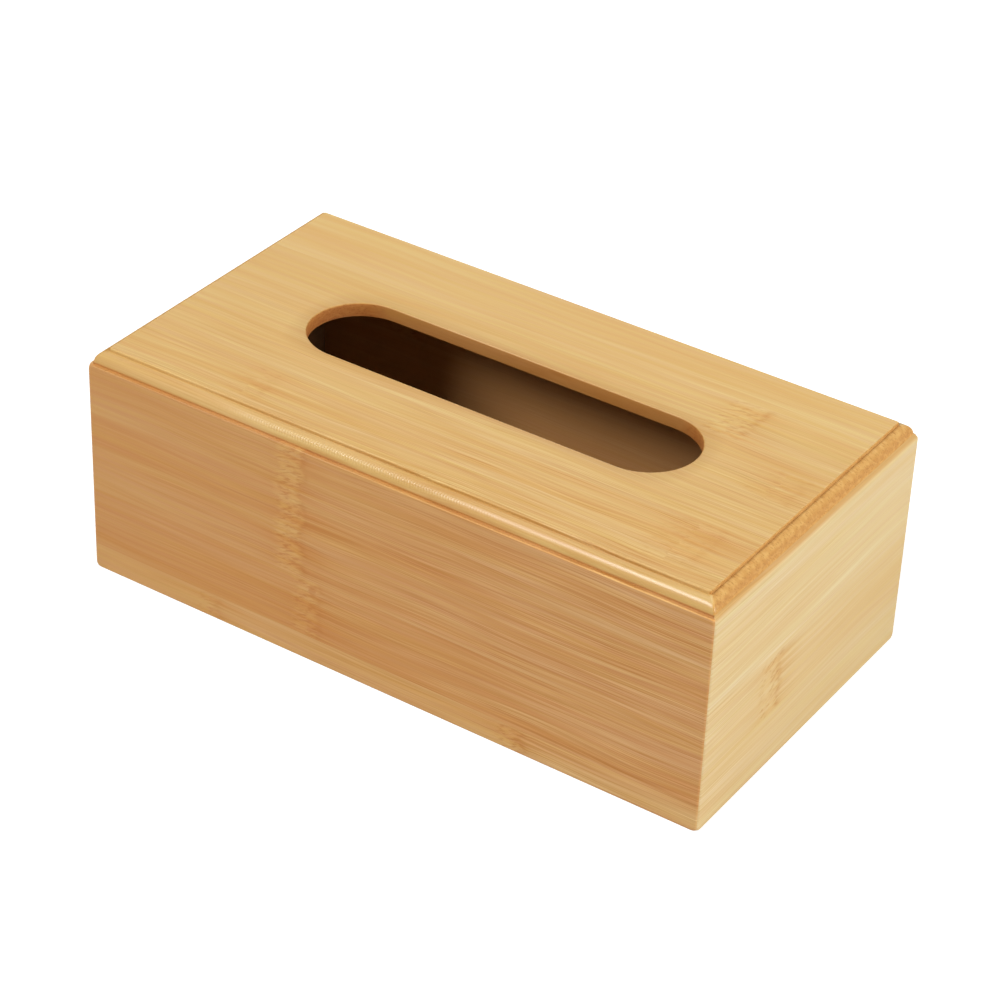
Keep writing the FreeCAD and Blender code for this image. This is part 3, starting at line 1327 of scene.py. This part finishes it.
@dataclass
class WallRing:
    """The four mitred walls.

    Attributes:
        sizes: sizes of the box.
        finishes: bamboo of each wall by its side.
        ledge_steps: chords of the ledge's rounded edge.
        ledge_guard: how far from the ledge's edges its next rows of points lie.
        slope_rows: rows of points down the right wall's slope.
        slope_power: how hollow that slope is, where 1 is flat.
    """

    sizes: BoxSizes
    finishes: dict[Side, BambooFinish]
    ledge_steps: int = 8
    ledge_guard: float = 0.1 * MM
    slope_rows: int = 12
    slope_power: float = 1.6

    # Strength of the painted shade on the riser and on the ledge under the plate, and of the oil up
    # the right wall's slope
    RISER_SHADE = 0.45
    LEDGE_SHADE = 0.12
    OIL = 0.95
    OIL_START = 0.1
    OIL_SPAN = 0.58

    def section(self, side: Side) -> np.ndarray:
        """Draw the section of a wall: sanded foot, groove, seat and top edge.

        Args:
            side: side of the box that the wall closes.

        Returns:
            Points round the section, as depth from the outer face and height.
        """
        sizes = self.sizes
        foot = sizes.groove_top if side is Side.LEFT else 0.0
        arris = sizes.wall_arris
        corners = [(arris, foot), (sizes.wall, foot)]
        if side is not Side.LEFT:
            floor = sizes.wall - sizes.groove_depth
            corners += [
                (sizes.wall, sizes.groove_rise),
                (floor, sizes.groove_rise),
                (floor, sizes.groove_top),
                (sizes.wall, sizes.groove_top),
            ]
        corners += [(sizes.wall, sizes.seat), (sizes.ledge_width, sizes.seat)]
        edge_height = sizes.slope_height if side is Side.RIGHT else sizes.ledge_drop + sizes.ledge_arris
        return np.concatenate(
            [
                stretches(*corners),
                self.slope() if side is Side.RIGHT else self.ledge(),
                straight((0.0, sizes.seat - edge_height), (0.0, foot + arris), BLUNT_ROWS),
                arc((arris, foot + arris), arris, 180, 270),
            ]
        )

    def ledge(self) -> np.ndarray:
        """Draw the top edge of most walls: a low riser below the plate, a narrow ledge, a rounded edge.

        Returns:
            Points as depth from the outer face and height.
        """
        sizes = self.sizes
        radius, width = sizes.ledge_arris, sizes.ledge_width
        level = sizes.seat - sizes.ledge_drop
        return np.concatenate(
            [
                straight((width, sizes.seat), (width, level)),
                straight((width, level), (radius, level), (self.ledge_guard,)),
                arc((radius, level - radius), radius, 90, 180, self.ledge_steps),
            ]
        )

    def slope(self) -> np.ndarray:
        """Draw the top edge of the right wall: depth is the ledge's width times share of height ^ power.

        Returns:
            Points as depth from the outer face and height.
        """
        sizes = self.sizes
        share = np.linspace(1, 0, self.slope_rows, endpoint=False)
        depth = sizes.ledge_width * share**self.slope_power
        return np.column_stack([depth, sizes.seat - sizes.slope_height * (1 - share)])

    def marks(self, section: np.ndarray, side: Side) -> dict[str, np.ndarray]:
        """Mark the inner face and top edge: painted shade, oil on a slope, a painted highlight on the
        arris.

        Args:
            section: points round the section, as depth from the outer face and height.
            side: side of the box that the wall closes.

        Returns:
            A value from 0 to 1 for each point, by the name of the mark.
        """
        sizes = self.sizes
        depth, height = section.T
        outer = depth < sizes.ledge_width + NEAR
        # the inner face, which takes painted shade
        inside = (depth > sizes.wall - NEAR).astype(float)
        if side is Side.RIGHT:
            slope = np.clip((height - sizes.seat) / sizes.slope_height + 1, 0, 1)
            share = np.clip((slope - self.OIL_START) / self.OIL_SPAN, 0, 1)
            oiled = self.OIL * share**2 * (3 - 2 * share)
            return {"inside": inside, "oiled": outer * oiled}
        ledge = outer & (height > sizes.seat - sizes.ledge_drop - sizes.ledge_arris)
        riser = outer & (depth > sizes.ledge_width - NEAR)
        # the arris takes a painted highlight
        arris = ledge & (depth < sizes.ledge_arris + NEAR)
        # painted shade on the riser and on the ledge under the plate
        stain_and_shade = riser * self.RISER_SHADE + (ledge & ~riser & ~arris) * self.LEDGE_SHADE
        return {"inside": inside, "stain_and_shade": stain_and_shade, "arris": arris.astype(float)}

    def build(self) -> None:
        """Make each wall in place of its plain solid."""
        sizes = self.sizes
        for side, finish in self.finishes.items():
            long_side = side in (Side.FRONT, Side.BACK)
            run, breadth = (sizes.length, sizes.width) if long_side else (sizes.width, sizes.length)
            section = self.section(side)
            blunt = (0.0 if side is Side.LEFT else sizes.corner_blunt, sizes.corner_blunt)
            board = MitredBoard(
                side, run, breadth / 2, section, sizes.corner_round, blunt, self.marks(section, side)
            )
            word = side.name.lower()
            piece = board.surface().to_object(f"mitred_{word}_wall")
            dress(piece, finish, f"{word}_wall_bamboo")
            seat_piece(piece, "box", f"{word}_wall")


@dataclass
class SlidingBase:
    """The panel that the tissues lie on, and the rail that draws it out.

    Attributes:
        sizes: sizes of the box.
        panel_finish: bamboo of the panel.
        rail_finish: bamboo of the rail.
        panel_columns: number of stations along the panel.
    """

    sizes: BoxSizes
    panel_finish: BambooFinish
    rail_finish: BambooFinish
    panel_columns: int = 24

    def panel_surface(self) -> Surface:
        """Carry the panel's section, a flat bar with eased edges, along the box.

        Returns:
            The panel's surface.
        """
        low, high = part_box("base_panel")
        ease = self.sizes.base_arris
        corners = [
            (low.y + ease, low.z),
            (high.y - ease, low.z),
            (high.y, low.z + ease),
            (high.y, high.z - ease),
            (high.y - ease, high.z),
            (low.y + ease, high.z),
            (low.y, high.z - ease),
            (low.y, low.z + ease),
        ]
        section = stretches(*corners, corners[0])
        along = np.linspace(low.x, high.x, self.panel_columns)
        x = np.broadcast_to(along, (len(section), len(along)))
        y = np.broadcast_to(section[:, :1], x.shape)
        z = np.broadcast_to(section[:, 1:], x.shape)
        return Surface(np.stack([x, y, z], axis=-1), ring=False)

    def rail_section(self) -> np.ndarray:
        """Draw the section of the rail, which has a lip in front of the panel's edge.

        Returns:
            Points round the section, as depth from the outer face and height.
        """
        sizes = self.sizes
        low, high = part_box("pull_rail")
        panel_low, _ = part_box("base_panel")
        edge = sizes.wall_arris
        corners = [
            (edge, low.z),
            (sizes.wall, low.z),
            (sizes.wall, panel_low.z),
            (sizes.rail_lip, panel_low.z),
            (sizes.rail_lip, high.z),
            (edge, high.z),
        ]
        return np.concatenate(
            [
                stretches(*corners),
                arc((edge, high.z - edge), edge, 90, 180),
                straight((0.0, high.z - edge), (0.0, low.z + edge), BLUNT_ROWS[:2]),
                arc((edge, low.z + edge), edge, 180, 270),
            ]
        )

    def build(self) -> None:
        """Make the panel and the rail in place of their plain solids."""
        sizes = self.sizes
        panel = self.panel_surface().to_object("eased_base_panel")
        dress(panel, self.panel_finish, "base_panel_bamboo")
        seat_piece(panel, "base", "base_panel")
        low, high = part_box("pull_rail")
        run = high.y - low.y + 2 * corner_nose(sizes.corner_round)
        blunt = (sizes.corner_blunt, 0.0)
        section = self.rail_section()
        board = MitredBoard(Side.LEFT, run, sizes.length / 2, section, sizes.corner_round, blunt)
        rail = board.surface().to_object("mitred_pull_rail")
        dress(rail, self.rail_finish, "pull_rail_bamboo")
        seat_piece(rail, "base", "pull_rail")


@dataclass
class MitreSplines:
    """The four loose splines inside the mitres, which keep their plain solids.

    Attributes:
        finish: their bamboo.
    """

    finish: BambooFinish

    def build(self) -> None:
        """Give each spline its bamboo."""
        material = self.finish.material("spline_bamboo")
        for name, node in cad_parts.items():
            if name.endswith("_spline"):
                node.data.materials.clear()
                node.data.materials.append(material)
                log.info("dressed %s", name)


def dress(piece: bpy.types.Object, finish: BambooFinish, name: str) -> None:
    """Give a piece its finish, as a material of a name."""
    piece.data.materials.append(finish.material(name))


def seat_piece(piece: bpy.types.Object, body: str, node: str) -> None:
    """Let a piece ride on a body in place of a plain solid.

    Args:
        piece: the object.
        body: name of the body that carries it.
        node: name of the solid that it stands for.
    """
    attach(piece, body)
    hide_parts(node)
    log.info("built %s: %d faces", piece.name, len(piece.data.polygons))


# Studio

@dataclass(frozen=True)
class Lamp:
    """A softbox that faces the box.

    Attributes:
        name: name of the lamp.
        toward: direction from the box to the lamp.
        distance: how far away it stands, in metres.
        width: its width in metres.
        height: its height in metres.
        radiance: its brightness, where 1 is white.
    """

    name: str
    toward: tuple[float, float, float]
    distance: float
    width: float
    height: float
    radiance: float

    def build(self, aim: Vector) -> None:
        """Set up the lamp.

        Args:
            aim: point that it faces.
        """
        data = bpy.data.lights.new(self.name, "AREA")
        data.shape = "RECTANGLE"
        data.size = self.width
        data.size_y = self.height
        data.energy = self.radiance * math.pi * self.width * self.height
        lamp = bpy.data.objects.new(self.name, data)
        way = Vector(self.toward).normalized()
        lamp.location = aim + way * self.distance
        lamp.rotation_euler = way.to_track_quat("Z", "Y").to_euler()
        lamp.visible_camera = False
        bpy.context.scene.collection.objects.link(lamp)


@dataclass
class Studio:
    """Floor, light and camera.

    Attributes:
        ambient: brightness of the surroundings as they light the box.
        floor_tone: how much light the floor throws back.
        floor_glow: brightness that the floor adds to itself as the camera sees it.
        floor_side: length of the floor's sides, in metres.
        floor_drop: how far the floor lies below the box, in metres.
        lamps: softboxes.
        camera_place: where the camera stands.
        camera_aim: point at the middle of the picture.
        camera_roll: tilt of the picture in degrees.
        lens: focal length in millimetres.
        sensor: width of the camera's frame in millimetres.
    """

    ambient: float = 0.14
    floor_tone: float = 0.5
    floor_glow: float = 0.78
    floor_side: float = 12.0
    floor_drop: float = 0.05 * MM
    lamps: tuple[Lamp, ...] = (
        Lamp("front_softbox", (-0.3615, -0.626, 0.691), 5.22, 2.6, 1.84, 14.7),
        Lamp("side_softbox", (0.98, 0.05, 0.19), 2.4, 1.7, 1.7, 7.5),
        Lamp("top_softbox", (-0.05, 0.3, 1.0), 1.3, 1.2, 1.2, 0.62),
    )
    camera_place: tuple[float, float, float] = (0.49706, -0.77256, 0.65303)
    camera_aim: tuple[float, float, float] = (-0.00013, -0.00015, 0.0455)
    camera_roll: float = 2.44
    lens: float = 113.64
    sensor: float = 36.0

    def build(self) -> None:
        """Set up the whole studio."""
        scene = bpy.context.scene
        scene.view_settings.view_transform = "Standard"
        self.build_world(scene)
        self.build_floor(scene)
        for lamp in self.lamps:
            lamp.build(Vector(self.camera_aim))
        self.build_camera(scene)
        log.info("set up the studio with %d lamps", len(self.lamps))

    @staticmethod
    def seen(graph: Graph, *kinds: str) -> Value:
        """Tell rays apart.

        Args:
            graph: node tree to build in.
            kinds: kinds of rays, such as Camera or Glossy.

        Returns:
            1 for rays of those kinds, and 0 for others.
        """
        path = graph.node("ShaderNodeLightPath", {}, {})
        rays = [Value(graph, path.outputs[f"Is {kind} Ray"]) for kind in kinds]
        return graph.math("MINIMUM", sum(rays[1:], rays[0]), 1.0)

    def build_world(self, scene: bpy.types.Scene) -> None:
        """Set up white surroundings, which light the box at a plain level.

        Args:
            scene: the scene.
        """
        world = bpy.data.worlds.new("studio")
        world.use_nodes = True
        scene.world = world
        graph = Graph(world.node_tree)
        seen = self.seen(graph, "Camera", "Glossy", "Transmission")
        strength = seen * (1.0 - self.ambient) + self.ambient
        back = graph.node("ShaderNodeBackground", {}, {"Color": WHITE, "Strength": strength})
        graph.node("ShaderNodeOutputWorld", {}, {"Surface": back.outputs[0]})

    def build_floor(self, scene: bpy.types.Scene) -> None:
        """Lay a wide pale floor that shows white and keeps the shadow of the box.

        Args:
            scene: the scene.
        """
        half = self.floor_side / 2
        mesh = bpy.data.meshes.new("studio_floor")
        corners = np.array([[-half, -half, 0], [half, -half, 0], [half, half, 0], [-half, half, 0]])
        mesh.from_pydata(corners - np.array([0, 0, self.floor_drop]), [], [[0, 1, 2, 3]])
        floor = bpy.data.objects.new("studio_floor", mesh)
        scene.collection.objects.link(floor)
        material = bpy.data.materials.new("studio_floor")
        material.use_nodes = True
        graph = Graph(material.node_tree)
        tone = (self.floor_tone,) * 3
        matt = graph.node("ShaderNodeBsdfDiffuse", {}, {"Color": tone})
        strength = self.seen(graph, "Camera") * self.floor_glow
        glow = graph.node("ShaderNodeEmission", {}, {"Color": WHITE, "Strength": strength})
        both = graph.node("ShaderNodeAddShader", {}, {0: matt.outputs[0], 1: glow.outputs[0]})
        graph.node("ShaderNodeOutputMaterial", {}, {"Surface": both.outputs[0]})
        mesh.materials.append(material)

    def build_camera(self, scene: bpy.types.Scene) -> None:
        """Set up the camera at the photograph's angle, tilted by its roll.

        Args:
            scene: the scene.
        """
        data = bpy.data.cameras.new("camera")
        data.sensor_width = self.sensor
        data.lens = self.lens
        place, aim = Vector(self.camera_place), Vector(self.camera_aim)
        forward = (aim - place).normalized()
        level = forward.cross(Vector((0, 0, 1))).normalized()
        upright = level.cross(forward)
        roll = math.radians(self.camera_roll)
        right = level * math.cos(roll) + upright * math.sin(roll)
        up = upright * math.cos(roll) - level * math.sin(roll)
        axes = Matrix((right, up, -forward)).transposed()
        camera = bpy.data.objects.new("camera", data)
        camera.matrix_world = Matrix.Translation(place) @ axes.to_4x4()
        scene.collection.objects.link(camera)
        scene.camera = camera


# The boards of this box

PLAIN: Colour = WHITE
WARM: Colour = (0.99, 0.965, 0.93)
LIGHT: Colour = (1.03, 1.05, 1.07)
BRIGHT: Colour = (1.05, 1.14, 1.2)

HIDDEN_BODY = linear(214, 166, 101)
HIDDEN_CONTRAST = 0.85

TOP_BAMBOO = BambooFinish(
    grain=Grain.PLATE,
    laths=(Lath(-70, WARM), Lath(-47, WARM), Lath(-33, PLAIN), Lath(32, LIGHT)),
    knuckles=(
        Knuckle(77, 18, 42, 6.5, 0.25, 0.6, 1.0),
        Knuckle(-68, -60, -40, 6, 0.0, 0.25, 0.6),
        Knuckle(100, -58, -30, 9, 0.0, 0.3, 1.0),
        Knuckle(108, -8, 12, 8, 0.0, 0.25, 0.8),
    ),
    seed=1,
    end_share=1.0,
    contrast=0.76,
    crisp=(0.62, 0.3, -0.95),
)
FRONT_BAMBOO = BambooFinish(
    grain=Grain.LONG_WALL,
    laths=(Lath(-10, BRIGHT), Lath(10.2, WARM), Lath(34, PLAIN)),
    knuckles=(
        Knuckle(-39, 34, 90, 5, 0.75, 0.45, 1.0),
        Knuckle(-32, 10.2, 34, 5, 0.5, 0.4, 0.8),
        Knuckle(-75, -10, 10.2, 4, 0.1, 0.4, 0.5),
        Knuckle(53.5, -10, 10.2, 4.5, 0.3, 0.7, 0.7),
    ),
    seed=2,
    body=linear(207, 151, 88),
    contrast=0.9,
    crisp=(0.77, 0.48, 0.0),
    paling=0.6,
)
RIGHT_BAMBOO = BambooFinish(
    grain=Grain.END_WALL,
    laths=(Lath(-10, WARM), Lath(48, PLAIN)),
    knuckles=(Knuckle(-26, 22, 47, 6, 0.1, 0.75, 1.0),),
    seed=3,
    body=linear(213, 186, 134),
    contrast=0.58,
    crisp=(0.6, -0.6, 0.0),
)
BACK_BAMBOO = BambooFinish(
    grain=Grain.LONG_WALL,
    laths=(Lath(-10, PLAIN), Lath(18, LIGHT), Lath(52, WARM)),
    knuckles=(
        Knuckle(61, 18, 52, 6, 0.7, 0.75, 0.9),
        Knuckle(-84, 52, 90, 6, 0.5, 0.7, 0.8),
        Knuckle(-20, -10, 18, 5, 0.2, 0.6, 0.7),
    ),
    seed=4,
    body=HIDDEN_BODY,
    contrast=HIDDEN_CONTRAST,
    inner=Tint.INSIDE_SHADE,
)
LEFT_BAMBOO = BambooFinish(
    grain=Grain.END_WALL,
    laths=(Lath(-10, WARM), Lath(31, PLAIN), Lath(66, LIGHT)),
    knuckles=(Knuckle(22, -10, 31, 6, 0.6, 0.7, 0.8), Knuckle(-35, 66, 90, 6, 0.3, 0.6, 0.7)),
    seed=5,
    body=HIDDEN_BODY,
    contrast=HIDDEN_CONTRAST,
    inner=Tint.GREY_SHADE,
)
PLAIN_BAMBOO = BambooFinish(
    grain=Grain.PLATE,
    laths=(Lath(-70, PLAIN), Lath(-24, WARM), Lath(21, PLAIN)),
    knuckles=(
        Knuckle(-40, -70, -24, 6, 0.6, 0.7, 0.8),
        Knuckle(66, -24, 21, 6, 0.6, 0.7, 0.8),
        Knuckle(-78, 21, 70, 6, 0.6, 0.7, 0.8),
    ),
    seed=6,
    body=linear(204, 175, 130),
    end_share=1.0,
    roughness=0.6,
    gloss=0.2,
)


def main() -> None:
    """Build the box and its studio."""
    logging.basicConfig(level=logging.INFO, format="%(name)s: %(message)s")
    sizes = BoxSizes.from_frame()
    TopPlate(sizes, TOP_BAMBOO).build()
    walls = {
        Side.FRONT: FRONT_BAMBOO,
        Side.RIGHT: RIGHT_BAMBOO,
        Side.BACK: BACK_BAMBOO,
        Side.LEFT: LEFT_BAMBOO,
    }
    WallRing(sizes, walls).build()
    SlidingBase(sizes, PLAIN_BAMBOO, LEFT_BAMBOO).build()
    MitreSplines(PLAIN_BAMBOO).build()
    Studio().build()


if __name__ == "__main__":
    main()
